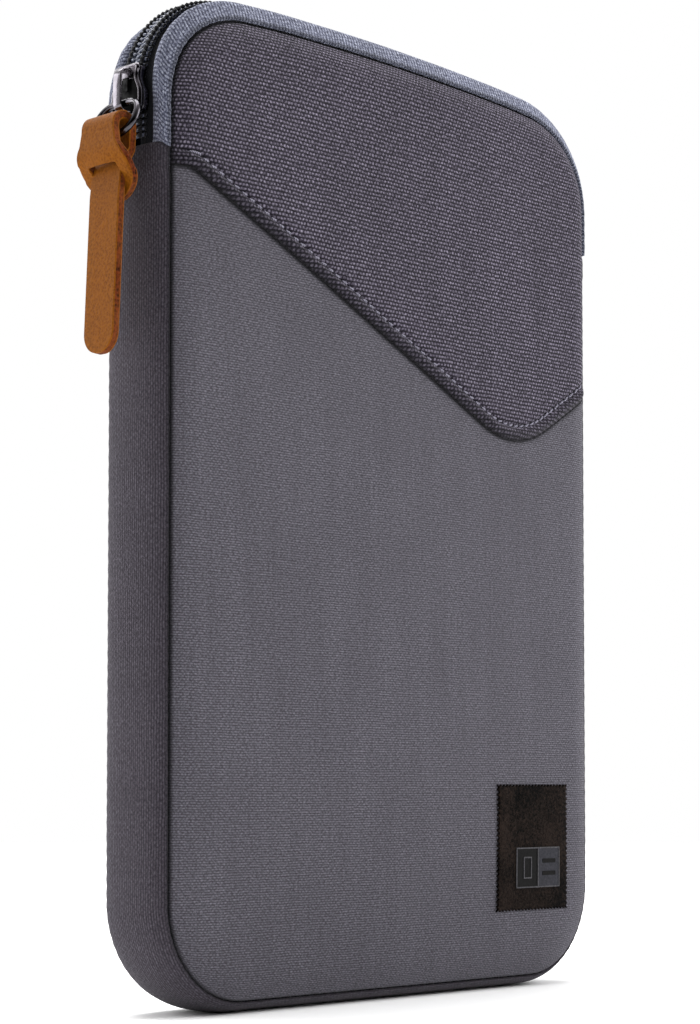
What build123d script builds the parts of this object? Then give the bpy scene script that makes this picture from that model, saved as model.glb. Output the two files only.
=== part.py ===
"""Padded zip-round tablet case: cloth shell, foam, lining, coil zip, slider, ring and leather pull.

Frame: X across the width, Y through the thickness with the front face at -Y, Z up.
The origin is the middle of the flat face that the case stands on. Units are millimetres.
"""

import os
from math import cos, degrees, hypot, pi, radians, sin

from build123d import *

# Outer size of the case
WIDTH = 156.0
HEIGHT = 234.0
CORNER_R = 26.0
HALF_FACE = 12.0          # middle of the case to the front or rear cloth
HALF_SEAM = 10.5          # middle of the case to the seams between panel and gusset
SEAM_INSET = 3.0          # how far the seams lie inside the widest outline
TOP_DROP = 2.0            # how much further below it they lie along the top

# Cloth, foam and lining
GUSSET_T = 0.9
YOKE_STEP = 0.6           # the doubled yoke canvas stands this far above the main cloth
FOAM_T = 4.0
LINING_T = 0.8
PANEL_FILLET = 1.3
LIP = 1.0                 # seam allowance of the gusset behind the panels
FOAM_INSET = SEAM_INSET + LIP + 0.2
GUSSET_FOAM_T = 2.0
GUSSET_LINING_T = 0.7
GUSSET_CORE_HALF = 7.3    # half width of the gusset's foam and lining
BINDING_T = 1.0
BINDING_W = 2.0

# Zip: its ends, its two cloth bands, its two tapes and its two coil rows
ZIP_END_Z = 196.5         # the gusset's hems, where the zip comes out on either side
TAPE_END_Z = 190.0        # the tapes run on behind the hems to here
FOLD_GAP = 0.3            # room below the flap, so that it can fold forward
BAND_HALF = 6.4           # half width of the slot between the two bands
TAPE_T = 0.6
TAPE_EDGE = 0.4           # tape edge to the middle where the zip is closed
TAPE_OPEN_EDGE = 1.1      # the same between the left hem and the slider's middle
TAPE_OUTER = 7.4
COIL_EDGE = 0.1
COIL_OPEN_EDGE = 0.95
COIL_W = 2.8
COIL_T = 1.5

# Yoke outline on the front: a flat start, a long slope down to a round tip, a short slope up
YOKE_LEFT_Z = 191.0
YOKE_BREAK = (-71.0, 190.6)
YOKE_TIP = (43.0, 137.6)
YOKE_TIP_R = 15.0
YOKE_RIGHT = (78.0, 158.4)
STITCH_INSET = 3.6
STITCH_PITCH = 2.9
STITCH_SIZE = (2.1, 0.5, 0.3)

# Label and badge
LABEL_MIDDLE = (49.6, 36.0)
LABEL_SIZE = (29.2, 32.4)
LABEL_T = 0.5
LABEL_TEETH = (22, 25)    # zigzag teeth along the width and the height
LABEL_TOOTH = 0.5
BADGE_MIDDLE = (51.2, 30.8)
BADGE_SIZE = (18.0, 10.4)
BADGE_T = 0.3

# Slider, in its own directions: u along the zip, v outward, w across (row Y)
SLIDER_ANGLE = 0.0        # place on the corner's arc at rest, degrees above its start
NOSE_U, TAIL_U = -5.2, 5.2
NOSE_HALF, TAIL_HALF = 4.9, 4.1
WING_V = (0.95, 2.15)
SOLE_V = (-3.5, -2.4)
FLANGE_T = 0.85
FLANGE_V = -0.5
NECK_U = (-4.7, -2.9)
NECK_HALF = 0.65
BRIDGE_U = (-4.6, 4.6)
BRIDGE_FOOT = 1.0
BRIDGE_HALF = 1.1
WINDOW_TOP = 4.35
BRIDGE_TOP = 5.35
SPRING_T = 0.25
RING_U, RING_V = -2.55, 3.25

# Pull ring: an oval of round wire, hanging from the bridge
WIRE_R = 0.75
RING_HALF_W = 6.75        # to the wire's middle
RING_HALF_H = 4.5
RING_CORNER_R = 4.2
RING_TILT = 24.0          # degrees outward from straight down

# Leather pull: one strip, folded over the ring and drawn through its own slit
STRAP_T = 2.0
TAIL_W = 9.8
LOOP_W = 10.6
LOBE_R = 7.0
LOOP_R = 2.6              # of the strip's middle, round the wire
SLIT_HALF_W = 5.2
SLIT_HALF_H = 1.6
TAIL_DROP = 49.5          # wire to the strap's end

HALF_W = WIDTH / 2
CORNER_X = HALF_W - CORNER_R
CORNER_Z = HEIGHT - CORNER_R
FAR = 400.0


def slab(inset, y_rear, y_front, drop=0.0):
    """Prism of the case's outline, drawn in by inset and lowered at the top by drop, from y_rear
    forward to y_front."""
    height = HEIGHT - drop
    outline = RectangleRounded(WIDTH - 2 * inset, height - 2 * inset, CORNER_R - inset)
    return extrude(Plane.XZ.offset(-y_rear) * Pos(0, height / 2) * outline, y_rear - y_front)


def panel_slab(inset, y_rear, y_front):
    """Prism of the panels' outline, which lies lower than the zip along the top."""
    return slab(inset, y_rear, y_front, TOP_DROP)


def ring_slab(inset_out, inset_in, y_rear, y_front, drop=0.0):
    """Band between two insets of the outline."""
    return slab(inset_out, y_rear, y_front, drop) - slab(inset_in, y_rear, y_front, drop)


def box(x, y, z):
    """Box between two limits on each axis."""
    size = [limits[1] - limits[0] for limits in (x, y, z)]
    middle = [(limits[0] + limits[1]) / 2 for limits in (x, y, z)]
    return Pos(*middle) * Box(*size)


def above(shape, z):
    """The part of a shape above height z."""
    return shape & box((-FAR, FAR), (-FAR, FAR), (z, FAR))


def below(shape, z):
    """The part of a shape below height z."""
    return shape & box((-FAR, FAR), (-FAR, FAR), (-FAR, z))


def soft_edge(shape, y, radius):
    """Rounds the edges of a panel's outer face, which lies at y."""
    face = shape.faces().filter_by(Axis.Y).sort_by(Axis.Y)[0 if y < 0 else -1]
    return fillet(face.edges(), radius)


def yoke_line(lift=0.0):
    """The yoke's lower edge as a line on the front, raised square to itself by lift."""
    slope_down = (YOKE_TIP[0] - YOKE_BREAK[0], YOKE_TIP[1] - YOKE_BREAK[1])
    slope_up = (YOKE_RIGHT[0] - YOKE_TIP[0], YOKE_RIGHT[1] - YOKE_TIP[1])
    rise_down = lift * hypot(*slope_down) / slope_down[0]
    rise_up = lift * hypot(*slope_up) / slope_up[0]
    grade_down = slope_down[1] / slope_down[0]
    grade_up = slope_up[1] / slope_up[0]
    tip_x = YOKE_TIP[0] + (rise_down - rise_up) / (grade_up - grade_down)
    tip_z = YOKE_TIP[1] + rise_up + grade_up * (tip_x - YOKE_TIP[0])
    break_x = YOKE_BREAK[0] + (lift - rise_down) / grade_down
    return FilletPolyline(
        (-HALF_W - 2, YOKE_LEFT_Z + lift),
        (break_x, YOKE_LEFT_Z + lift),
        (tip_x, tip_z),
        (YOKE_RIGHT[0] + 2, tip_z + grade_up * (YOKE_RIGHT[0] + 2 - tip_x)),
        radius=[5.0, YOKE_TIP_R - lift],
    )


def over_yoke_line(y_rear, y_front):
    """Everything above the yoke's lower edge, between two depths."""
    edge = yoke_line()
    start, end = edge @ 0, edge @ 1
    rim = Polyline((end.X, end.Y), (end.X, FAR), (start.X, FAR), (start.X, start.Y))
    return extrude(Plane.XZ.offset(-y_rear) * make_face(edge + rim), y_rear - y_front)


# ---- Cloth panels -------------------------------------------------------------------------

def front_panels():
    """Main cloth, lower yoke and the yoke's part on the flap."""
    deep = -HALF_SEAM
    main = soft_edge(panel_slab(SEAM_INSET, deep, -HALF_FACE), -1, PANEL_FILLET)
    thick = panel_slab(SEAM_INSET, deep, -HALF_FACE - YOKE_STEP)
    yoke = soft_edge(thick, -1, PANEL_FILLET) & over_yoke_line(deep, -FAR)
    return {
        "front_main_panel": main - over_yoke_line(FAR, -FAR),
        "front_yoke": below(yoke, ZIP_END_Z),
        "flap_yoke": above(yoke, ZIP_END_Z + FOLD_GAP),
    }


def rear_panel():
    """One flat cloth panel."""
    return soft_edge(panel_slab(SEAM_INSET, HALF_FACE, HALF_SEAM), 1, PANEL_FILLET)


def padding():
    """Foam and lining behind the front and the rear, split at the fold on the front."""
    foam_y, lining_y = HALF_SEAM - FOAM_T, HALF_SEAM - FOAM_T - LINING_T
    foam = panel_slab(FOAM_INSET, -foam_y, -HALF_SEAM)
    lining = panel_slab(FOAM_INSET, -lining_y, -foam_y)
    fold = ZIP_END_Z + FOLD_GAP
    return {
        "front_foam": below(foam, ZIP_END_Z),
        "flap_foam": above(foam, fold),
        "front_lining": below(lining, ZIP_END_Z),
        "flap_lining": above(lining, fold),
        "rear_foam": panel_slab(FOAM_INSET, HALF_SEAM, foam_y),
        "rear_lining": panel_slab(FOAM_INSET, foam_y, lining_y),
    }


def round_shell():
    """Gusset cloth all the way round, with rounded shoulders and a turned-in lip at each seam."""
    outer = slab(0, HALF_SEAM, -HALF_SEAM)
    outer = fillet(outer.faces().filter_by(Axis.Y).edges(), SEAM_INSET - 0.001)
    inner_half = HALF_SEAM - GUSSET_T
    inner = slab(GUSSET_T, inner_half, -inner_half)
    inner = fillet(inner.faces().filter_by(Axis.Y).edges(), SEAM_INSET - GUSSET_T)
    return outer - inner - panel_slab(SEAM_INSET + LIP, FAR / 2, -FAR / 2)


def gusset_and_bands():
    """The plain gusset below the hems, and the two zip bands above them."""
    shell = round_shell()
    upper = above(shell, ZIP_END_Z + FOLD_GAP)
    return {
        "side_gusset": below(shell, ZIP_END_Z),
        "front_zip_band": upper & box((-FAR, FAR), (-FAR, -BAND_HALF), (0, FAR)),
        "rear_zip_band": upper & box((-FAR, FAR), (BAND_HALF, FAR), (0, FAR)),
    }


def gusset_core():
    """Foam and lining inside the gusset, up to the tape ends."""
    half = GUSSET_CORE_HALF
    foam_in = GUSSET_T + GUSSET_FOAM_T
    lining_in = foam_in + GUSSET_LINING_T
    return {
        "gusset_foam": below(ring_slab(GUSSET_T, foam_in, half, -half), TAPE_END_Z - 1),
        "gusset_lining": below(ring_slab(foam_in, lining_in, half, -half), TAPE_END_Z - 1),
    }


def seam_bindings():
    """Tape bound over the raw edges inside each seam."""
    y_out = HALF_SEAM - GUSSET_T - 0.1
    y_in = y_out - BINDING_W
    inset = SEAM_INSET + 0.05
    inner = inset + BINDING_T - 0.1
    front = ring_slab(inset, inner, -y_in, -y_out, TOP_DROP)
    return {
        "front_seam_binding": below(front, ZIP_END_Z),
        "flap_seam_binding": above(front, ZIP_END_Z + FOLD_GAP),
        "rear_seam_binding": ring_slab(inset, inner, y_out, y_in, TOP_DROP),
    }


# ---- Zip ------------------------------------------------------------------------------------

def zip_strip(inset_out, inset_in, near, far, near_open, end_z):
    """Half of a strip that follows the zip, on the front side: its inner edge is at near where
    the zip is closed, and at near_open from the left end up to the slider's middle."""
    def band(inner, outer):
        return above(ring_slab(inset_out, inset_in, -inner, -outer), end_z)

    slider_z = CORNER_Z + CORNER_R * sin(radians(SLIDER_ANGLE))
    opened = box((-FAR, 0), (-FAR, FAR), (-FAR, slider_z))
    width = far - near
    return (band(near, far) - opened) + (band(near_open, near_open + width) & opened)


def zip_halves():
    """Tape and coil of the front half, and their mirror images for the rear half."""
    tape_far = TAPE_OUTER - TAPE_EDGE
    tape = zip_strip(GUSSET_T, GUSSET_T + TAPE_T, TAPE_EDGE, tape_far, TAPE_OPEN_EDGE, TAPE_END_Z)
    coil_out = GUSSET_T - COIL_T
    coil_far = COIL_EDGE + COIL_W
    start = ZIP_END_Z + 1
    coil = zip_strip(coil_out, GUSSET_T, COIL_EDGE, coil_far, COIL_OPEN_EDGE, start)
    return {
        "front_zip_tape": tape,
        "front_zip_coil": coil,
        "rear_zip_tape": mirror(tape, Plane.XZ),
        "rear_zip_coil": mirror(coil, Plane.XZ),
    }


def zip_stops():
    """Crimped stops on the inner side of the tapes, behind the hems."""
    inner_face = HALF_W - GUSSET_T - TAPE_T
    x = (inner_face - 0.8, inner_face)
    z = (ZIP_END_Z - 3.2, ZIP_END_Z - 1.2)
    left_x = (-x[1], -x[0])
    pair = [box(left_x, (side * 2.1 - 0.9, side * 2.1 + 0.9), z) for side in (-1, 1)]
    return {
        "zip_top_stops": Compound(children=pair),
        "zip_bottom_stop": box(x, (-2.6, 2.6), z),
    }


# ---- Slider, ring and leather pull -------------------------------------------------------------

def slider_frame():
    """Plane at the slider's middle on the outline: X along the zip, Y outward, Z towards -Y."""
    turn = radians(SLIDER_ANGLE)
    outward = Vector(-cos(turn), 0, sin(turn))
    along = Vector(sin(turn), 0, cos(turn))
    origin = Vector(-CORNER_X, 0, CORNER_Z) + outward * CORNER_R
    return Plane(origin, x_dir=along, z_dir=along.cross(outward))


def slider_box(u, v, half_w):
    """Box in the slider's own directions, centred across the zip."""
    size = (u[1] - u[0], v[1] - v[0], 2 * half_w)
    return Pos((u[0] + u[1]) / 2, (v[0] + v[1]) / 2, 0) * Box(*size)


def wing_outline(grow=0.0):
    """Plan of the slider, wide at its nose and narrow at its tail, as (u, w) corners."""
    nose, tail = NOSE_HALF + grow, TAIL_HALF + grow
    right = [(NOSE_U, nose - 1.6), (NOSE_U + 1.2, nose), (0.4, nose), (2.8, tail)]
    right += [(TAIL_U - 0.8, tail), (TAIL_U, tail - 0.8)]
    return right + [(u, -w) for u, w in reversed(right)]


def plan_prism(corners, v):
    """Prism of a (u, w) plan between two heights v, in the slider's own directions."""
    plan = Polygon(*reversed(corners), align=None)
    lying = Plane((0, v[0], 0), x_dir=(1, 0, 0), z_dir=(0, 1, 0)) * plan
    return extrude(lying, v[1] - v[0])


def slider_body():
    """Top wing with flanges, sole and the neck that joins them at the nose."""
    top = plan_prism(wing_outline(), (FLANGE_V, WING_V[1]))
    top = fillet(top.faces().sort_by(Axis.Y)[-1].edges(), 0.45)
    hollow = plan_prism(wing_outline(-FLANGE_T), (FLANGE_V - 1, WING_V[0]))
    mouth = slider_box((NOSE_U - 2, NOSE_U + 1.4), (FLANGE_V - 1, WING_V[0]), NOSE_HALF - FLANGE_T)
    tail = slider_box((TAIL_U - 1.4, TAIL_U + 2), (FLANGE_V - 1, WING_V[0]), TAIL_HALF - FLANGE_T)
    sole = plan_prism(wing_outline(), SOLE_V)
    neck = slider_box(NECK_U, (SOLE_V[1], WING_V[0]), NECK_HALF)
    return slider_frame().location * (top - hollow - mouth - tail + sole + neck)


def slider_bridge():
    """Staple-shaped cap that holds the ring, with its window open to both sides."""
    outer = slider_box(BRIDGE_U, (WING_V[1], BRIDGE_TOP), BRIDGE_HALF)
    outer = fillet(outer.edges().filter_by(Axis.Z).group_by(Axis.Y)[-1], 1.4)
    window_u = (BRIDGE_U[0] + BRIDGE_FOOT, BRIDGE_U[1] - BRIDGE_FOOT)
    window = slider_box(window_u, (WING_V[1], WINDOW_TOP), BRIDGE_HALF + 1)
    window = fillet(window.edges().filter_by(Axis.Z).group_by(Axis.Y)[-1], 0.6)
    return slider_frame().location * (outer - window)


def slider_lock_spring():
    """Leaf spring on the wing, under the tail half of the bridge."""
    leaf = slider_box((0.4, BRIDGE_U[1] - BRIDGE_FOOT - 0.1), (WING_V[1], WING_V[1] + SPRING_T), 0.8)
    return slider_frame().location * leaf


def wire_top():
    """Middle of the ring's wire inside the bridge."""
    return slider_frame().from_local_coords(Vector(RING_U, RING_V, 0))


def ring_direction():
    """Way from the wire in the bridge to the wire in the leather loop."""
    return Vector(-sin(radians(RING_TILT)), 0, -cos(radians(RING_TILT)))


def wire_bottom():
    """Middle of the ring's wire inside the leather loop."""
    return wire_top() + ring_direction() * (2 * RING_HALF_H)


def pull_ring():
    """Oval ring of round wire."""
    middle = wire_top() + ring_direction() * RING_HALF_H
    flat = Plane(middle, x_dir=(0, 1, 0), z_dir=Vector(0, 1, 0).cross(ring_direction()))
    oval = RectangleRounded(2 * RING_HALF_W, 2 * RING_HALF_H, RING_CORNER_R)
    path = (flat * oval).wire()
    section = Plane(path @ 0, z_dir=path % 0) * Circle(WIRE_R)
    return sweep(section, path=path)


def side_strip(points, radii, width):
    """Strip of leather whose middle follows (x, z) points, with arcs, extruded across Y."""
    line = FilletPolyline(*points, radius=radii)
    run = Plane.XZ * line
    section = Plane(run @ 0, x_dir=(0, 1, 0), z_dir=run % 0) * Rectangle(width, STRAP_T)
    return sweep(section, path=run, transition=Transition.RIGHT)


def side_outline(shape, y_side):
    """A plan drawn as (y, z), extruded through the strap along X."""
    return extrude(Plane.YZ.offset(-FAR / 2) * shape, y_side)


def leather_pull():
    """Tail, loop and slit head as one strip."""
    wire = wire_bottom()
    x, z = wire.X, wire.Z
    out, into = x - LOOP_R, x + LOOP_R
    crown = z + 1.4 + LOOP_R
    tip = z - TAIL_DROP
    tail = side_strip(
        [(x - 2.3, tip), (x - 0.6, z - 13.5), (x + 0.3, z - 7.0), (into, z - 3.2), (into, z - 0.2)],
        [12.0, 5.0, 3.0],
        TAIL_W,
    )
    loop = side_strip(
        [(into, z - 0.4), (into, crown), (out, crown), (out, z - 0.4)],
        [LOOP_R - 0.02, LOOP_R - 0.02],
        LOOP_W,
    )
    head = side_strip(
        [(out, z - 0.2), (out, z - 3.4), (x + 1.6, z - 9.6), (x + 3.6, z - 14.2)],
        [4.0, 6.0],
        2 * LOBE_R,
    )
    slit_z = z - 7.0
    head_plan = Pos(0, slit_z) * Circle(LOBE_R) + Pos(0, slit_z + 8) * Rectangle(LOOP_W, 16)
    head = head & side_outline(head_plan, FAR)
    slit = Pos(x - 0.2, 0, slit_z) * Box(6.5, 2 * SLIT_HALF_W, 2 * SLIT_HALF_H)
    head = head - slit
    tail_plan = Pos(0, tip + TAIL_W / 2) * Circle(TAIL_W / 2)
    tail_plan += Pos(0, tip + TAIL_W / 2 + 35) * Rectangle(TAIL_W, 70)
    return (tail & side_outline(tail_plan, FAR)) + loop + head


# ---- Trim -------------------------------------------------------------------------------------

def label_patch():
    """Felt patch with pinked edges."""
    w, h = LABEL_SIZE
    across, up = LABEL_TEETH
    low_x, low_z = LABEL_MIDDLE[0] - w / 2, LABEL_MIDDLE[1] - h / 2
    step_x, step_z = w / across / 2, h / up / 2
    dent = [LABEL_TOOTH * (i % 2) for i in range(2 * max(across, up) + 1)]
    bottom = [(low_x + i * step_x, low_z + dent[i]) for i in range(2 * across)]
    right = [(low_x + w - dent[i], low_z + i * step_z) for i in range(2 * up)]
    top = [(low_x + w - i * step_x, low_z + h - dent[i]) for i in range(2 * across)]
    left = [(low_x + dent[i], low_z + h - i * step_z) for i in range(2 * up)]
    plan = Polygon(*bottom, *right, *top, *left, align=None)
    return extrude(Plane.XZ.offset(HALF_FACE) * plan, LABEL_T)


def label_badge():
    """Small plain pressed badge on the patch."""
    plan = Pos(*BADGE_MIDDLE) * RectangleRounded(*BADGE_SIZE, 0.6)
    return extrude(Plane.XZ.offset(HALF_FACE + LABEL_T) * plan, BADGE_T)


def yoke_topstitch():
    """Row of thread stitches that follows the yoke's edge."""
    line = yoke_line(STITCH_INSET)
    edge_x = HALF_W - SEAM_INSET - PANEL_FILLET - 1.2
    stitches = []
    for i in range(int(line.length / STITCH_PITCH)):
        share = (i + 0.5) * STITCH_PITCH / line.length
        point, way = line @ share, line % share
        if abs(point.X) < edge_x:
            angle = degrees(Vector(1, 0, 0).get_signed_angle(way) * pi / 180)
            seat = Plane.XZ.offset(HALF_FACE + YOKE_STEP) * Pos(point.X, point.Y)
            thread = Rot(0, 0, angle) * Rectangle(STITCH_SIZE[0], STITCH_SIZE[1])
            stitches.append(extrude(seat * thread, STITCH_SIZE[2]))
    return Compound(children=stitches)


def all_parts():
    """Every sub-part by name."""
    parts = {}
    for group in (front_panels, padding, gusset_and_bands, gusset_core, seam_bindings):
        parts.update(group())
    for group in (zip_halves, zip_stops):
        parts.update(group())
    for single in (rear_panel, slider_body, slider_bridge, slider_lock_spring, pull_ring,
                   leather_pull, label_patch, label_badge, yoke_topstitch):
        parts[single.__name__] = single()
    return parts


os.makedirs("parts", exist_ok=True)
for name, shape in all_parts().items():
    export_step(shape, f"parts/{name}.step")
print("joint points: corner", (-CORNER_X, 0, CORNER_Z), "wire top", wire_top(),
      "wire bottom", wire_bottom())
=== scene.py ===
"""Looks of a padded zip-round tablet case: cloth covers, coil zip, slider, leather pull."""

import math

import bpy
import numpy as np
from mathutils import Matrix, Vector


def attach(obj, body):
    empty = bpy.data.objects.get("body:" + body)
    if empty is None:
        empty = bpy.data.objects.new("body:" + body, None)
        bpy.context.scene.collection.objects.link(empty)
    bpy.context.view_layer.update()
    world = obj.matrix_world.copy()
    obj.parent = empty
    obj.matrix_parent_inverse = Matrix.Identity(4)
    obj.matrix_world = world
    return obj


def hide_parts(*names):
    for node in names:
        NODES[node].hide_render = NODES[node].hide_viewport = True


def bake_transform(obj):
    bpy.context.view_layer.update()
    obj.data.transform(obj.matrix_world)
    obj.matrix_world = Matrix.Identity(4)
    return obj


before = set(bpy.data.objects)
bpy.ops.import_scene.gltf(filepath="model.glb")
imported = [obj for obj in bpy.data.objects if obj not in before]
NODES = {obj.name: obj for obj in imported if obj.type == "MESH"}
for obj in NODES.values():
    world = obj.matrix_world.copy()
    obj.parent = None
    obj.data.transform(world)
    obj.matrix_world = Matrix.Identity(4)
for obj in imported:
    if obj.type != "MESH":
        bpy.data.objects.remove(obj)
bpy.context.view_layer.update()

MM = 0.001

# Sizes in millimetres, in the frame of the CAD part
WIDTH, HEIGHT, CORNER = 156.0, 234.0, 26.0
TOP_DROP = 2.0  # the panels' top seam lies this far below the outline
PANEL_HEIGHT = HEIGHT - TOP_DROP
HALF_W, MID_X, TOP_Z = WIDTH / 2, WIDTH / 2 - CORNER, HEIGHT - CORNER
TOP_BOW, CORNER_DRAW = 1.0, 0.8  # how far the top bows up, and its corners are drawn in
SEAM_Y, SEAM_D = 10.5, 3.0  # the seams' distance from the middle, and their inset
EDGE_D = 2.95  # inset of the covers' edges
STITCH = 3.2  # pitch of the seams' stitches and puckers
HEM_Z, HINGE_Z = 196.5, 196.65  # the gusset's hems; the line where the mouth folds
WIRE_X, WIRE_Z = -84.91, 197.23  # middle of the ring's wire inside the leather
ACROSS = np.array([0, 1.0, 0])  # from front to rear

# Distances round the outline, from the middle of the bottom by way of the left side
ARC = CORNER * math.pi / 2
LENGTH = 2 * (WIDTH - 2 * CORNER) + 2 * (HEIGHT - 2 * CORNER) + 4 * ARC
SLIDER_S = MID_X + ARC + (TOP_Z - CORNER)
HEM_LEFT = MID_X + ARC + (HEM_Z - CORNER)
HEM_RIGHT = LENGTH - HEM_LEFT


# Profiles

def ramp(value, start, width):
    """Rises from 0 at start to 1 a width further on, and stays there."""
    return np.clip((value - start) / width, 0, 1)


def smooth(t):
    """A ramp with its ends eased."""
    return t * t * (3 - 2 * t)


def hump(value, middle, width):
    """Bell curve, 1 at its middle."""
    return np.exp(-((value - middle) / width) ** 2)


def rolled(distance, radius):
    """Quarter-round edge: 0 at its rim, 1 from the radius on."""
    return np.sqrt(1 - np.clip(1 - distance / radius, 0, 1) ** 2)


def waves(along, pitch):
    """Waves between 0 and 1 with their crests a pitch apart."""
    return 0.5 + 0.5 * np.cos(2 * math.pi * along / pitch)


def even(start, end, step):
    """Evenly spaced values from start to end, both included."""
    return np.linspace(start, end, max(2, int(abs(end - start) / step) + 1))


# Outline

def outline(s):
    """Points and inward normals of the widest outline at distances s from the middle of the
    bottom, by way of the left side."""
    s = np.mod(np.asarray(s, float), LENGTH)
    left = np.where(s <= LENGTH / 2, 1, -1)
    t = np.where(left > 0, s, LENGTH - s)
    side = HEIGHT - 2 * CORNER
    second = MID_X + ARC + side
    turn = (ramp(t, MID_X, ARC) + ramp(t, second, ARC)) * math.pi / 2
    nx, nz = np.sin(turn), np.cos(turn)
    x = np.clip(t - second - ARC, 0, MID_X) - np.clip(t, 0, MID_X) - CORNER * nx
    z = CORNER + np.clip(t - MID_X - ARC, 0, side) - CORNER * nz
    return left * x, z, left * nx, nz


def dropped(s, y):
    """How far a strip's points lie below the outline near the seams, along the top."""
    z = outline(s)[1][:, None]
    return TOP_DROP * smooth(ramp(z, 178, 30)) * smooth(ramp(np.abs(y), 7.6, 2.4))


def bowed(points):
    """Bows the case's top up a little, and draws its corners in beside the zip."""
    x, y, z = points.T
    bow = TOP_BOW * np.clip(1 - (x / 60) ** 2, 0, 1) ** 2
    drawn_in = CORNER_DRAW * hump(np.abs(x), 60, 14) * ramp(np.abs(y), 3.8, 2.4)
    out = points.copy()
    out[:, 2] += (bow - drawn_in) * smooth(ramp(z, 200, 28))
    return out


def past_arcs(x, z):
    """How far points lie past the centres of the panels' corner arcs, sideways and upright."""
    return np.abs(x) - MID_X, np.abs(z - PANEL_HEIGHT / 2) - (PANEL_HEIGHT / 2 - CORNER)


def inset_of(x, z):
    """How far points lie inside the panels' outline."""
    over_x, over_z = past_arcs(x, z)
    outside = np.hypot(np.maximum(over_x, 0), np.maximum(over_z, 0))
    return CORNER - outside - np.minimum(np.maximum(over_x, over_z), 0)


def along_of(x, z):
    """Rough distance round the outline of the points near it, for the seams' puckers."""
    over_x, over_z = past_arcs(x, z)
    round_corner = np.arctan2(over_z, over_x) * CORNER
    straight = np.where(over_x > over_z, z, x)
    return np.where((over_x > 0) & (over_z > 0), round_corner, straight)


def edge_distance(x, z, inset=EDGE_D):
    """Distance of points from a panel's edge."""
    return np.clip(inset_of(x, z) - inset, 0, None)


def beside_outline(s, y, d):
    """Points at y, at inset d from the outline."""
    x, z, nx, nz = outline(s)
    return np.stack([x + nx * d, y, z + nz * d], -1)


# Paths

def directions(path):
    """Unit vectors along a path."""
    way = np.gradient(path, axis=0)
    return way / np.linalg.norm(way, axis=1)[:, None]


def run_of(path):
    """Distance along a path of each of its points."""
    return np.r_[0, np.cumsum(np.linalg.norm(np.diff(path, axis=0), axis=1))]


def at_run(path, t):
    """Points of a flat path at distances t along it."""
    run = run_of(path)
    return np.stack([np.interp(t, run, path[:, k]) for k in (0, 1)], -1)


def rounded_path(points, radii, steps):
    """Straight runs joined by arcs of so many points each."""
    points = [np.array(p, float) for p in points]
    path = [points[0]]
    for before, at, after, radius in zip(points, points[1:], points[2:], radii):
        a = (before - at) / np.linalg.norm(before - at)
        b = (after - at) / np.linalg.norm(after - at)
        half = math.acos(np.clip(a @ b, -1, 1)) / 2
        reach = radius / math.tan(half)
        centre = (a + b) / np.linalg.norm(a + b) * radius / math.sin(half)
        for t in np.linspace(0, 1, steps):
            p = (a * (1 - t) + b * t) * reach - centre
            path.append(at + centre + p / np.linalg.norm(p) * radius)
    return np.array(path + [points[-1]])


# Meshes

def assign(thing, **values):
    """Sets several attributes."""
    for name, value in values.items():
        setattr(thing, name, value)


def linked(name, data):
    """New object of the data, in the scene."""
    obj = bpy.data.objects.new(name, data)
    bpy.context.scene.collection.objects.link(obj)
    return obj


def object_of(name, verts, faces, material, uvs=None):
    """Smooth mesh object from millimetre points, with one UV per point in millimetres."""
    mesh = bpy.data.meshes.new(name)
    verts = bowed(np.asarray(verts, float))
    mesh.from_pydata((verts * MM).tolist(), [], faces)
    mesh.polygons.foreach_set("use_smooth", [True] * len(mesh.polygons))
    if uvs is not None:
        layer = mesh.uv_layers.new(name="cloth")
        loops = np.zeros(len(mesh.loops), int)
        mesh.loops.foreach_get("vertex_index", loops)
        layer.data.foreach_set("uv", np.asarray(uvs, float)[loops].ravel())
    for m in material if isinstance(material, (list, tuple)) else [material]:
        mesh.materials.append(m)
    return linked(name, mesh)


def grid_faces(n, m, close_n=False, close_m=False, flip=False, start=0):
    """Quads of an n by m grid of points."""
    faces = []
    for i in range(n if close_n else n - 1):
        for j in range(m if close_m else m - 1):
            a, b = i * m + j, i * m + (j + 1) % m
            c, d = ((i + 1) % n) * m + (j + 1) % m, ((i + 1) % n) * m + j
            quad = (start + a, start + b, start + c, start + d)
            faces.append(quad[::-1] if flip else quad)
    return faces


def grid_object(name, points, uvs, material, shade=None, **how):
    """Object from a grid of points (n, m, 3) with UVs (n, m, 2). shade, from 0 to 1, is painted
    shade: where the cloth is darkened in seams, grooves and under folds."""
    n, m = points.shape[:2]
    faces = grid_faces(n, m, **how)
    obj = object_of(name, points.reshape(-1, 3), faces, material, uvs.reshape(-1, 2))
    if shade is not None:
        # Painted shade, kept as the shade attribute
        painted_shade = obj.data.attributes.new("shade", "FLOAT", "POINT")
        painted_shade.data.foreach_set("value", np.broadcast_to(shade, (n, m)).ravel())
    return obj


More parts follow.
